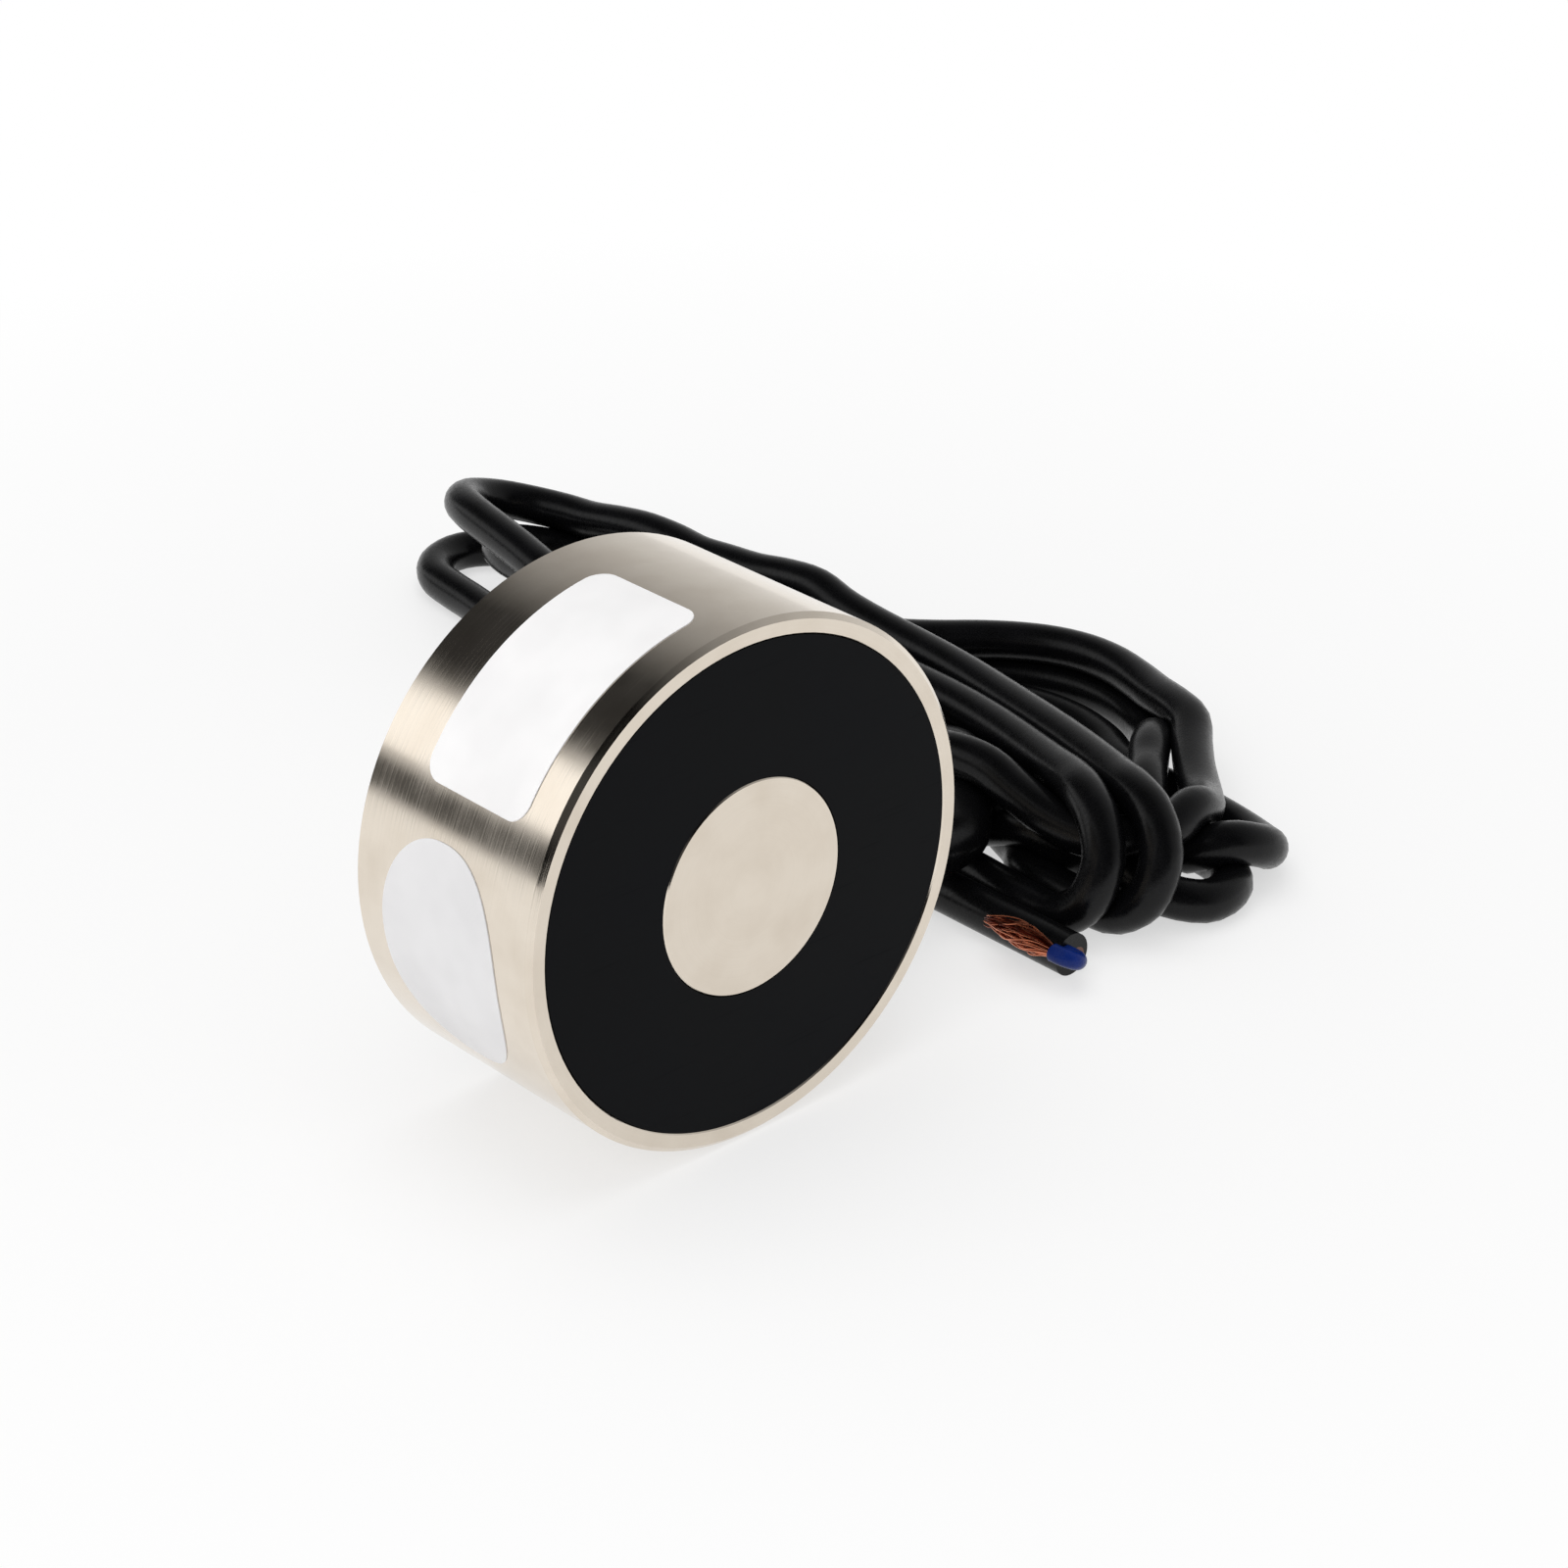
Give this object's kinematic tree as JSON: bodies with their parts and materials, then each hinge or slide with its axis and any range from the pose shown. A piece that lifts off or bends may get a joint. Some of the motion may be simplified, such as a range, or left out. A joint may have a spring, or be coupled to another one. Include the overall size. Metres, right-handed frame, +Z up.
{
  "type": "holding electromagnet",
  "caption": "Round 80 mm pot electromagnet, plated steel with a potted coil face, tapped back, blank labels and a two-core cable with a bare end, lying on its side.",
  "frame": {"origin": "on the surface that the magnet lies on, below the middle of the pot", "axes": "+Y along the pot's axis from the pole face to the tapped back, +Z up, and the cable leaves towards +X"},
  "size_m": [0.182, 0.198, 0.08],
  "materials": {
    "plated_steel": "turned and nickel plated",
    "potting_epoxy": "cast, satin",
    "label_film": "smooth white film",
    "black_rubber": "moulded, satin",
    "black_pvc": "extruded, satin",
    "blue_pvc": "extruded",
    "brown_pvc": "extruded",
    "copper": "drawn copper",
    "cream_nylon": "moulded",
    "yellow_tape": "polyester film",
    "glass_sleeve": "braided and varnished",
    "red_sleeve": "extruded"
  },
  "bodies": {
    "root": {"pot_shell": "plated_steel", "centre_pole": "plated_steel", "bobbin": "cream_nylon", "coil_winding": "copper", "coil_tape": "yellow_tape", "potting_resin": "potting_epoxy", "start_lead": "red_sleeve", "finish_lead": "red_sleeve", "start_sleeve": "glass_sleeve", "finish_sleeve": "glass_sleeve", "blue_core_inner": "blue_pvc", "brown_core_inner": "brown_pvc", "cable_bush": "black_rubber", "jacket_inner": "black_pvc", "rating_label": "label_film", "oval_label": "label_film", "cable_lead_out": "black_pvc", "cable_hank": "black_pvc", "cable_tail": "black_pvc", "cable_jacket_end": "black_pvc", "blue_core_end": "blue_pvc", "brown_core_end": "brown_pvc", "copper_strands": "copper"}
  },
  "joints": []
}
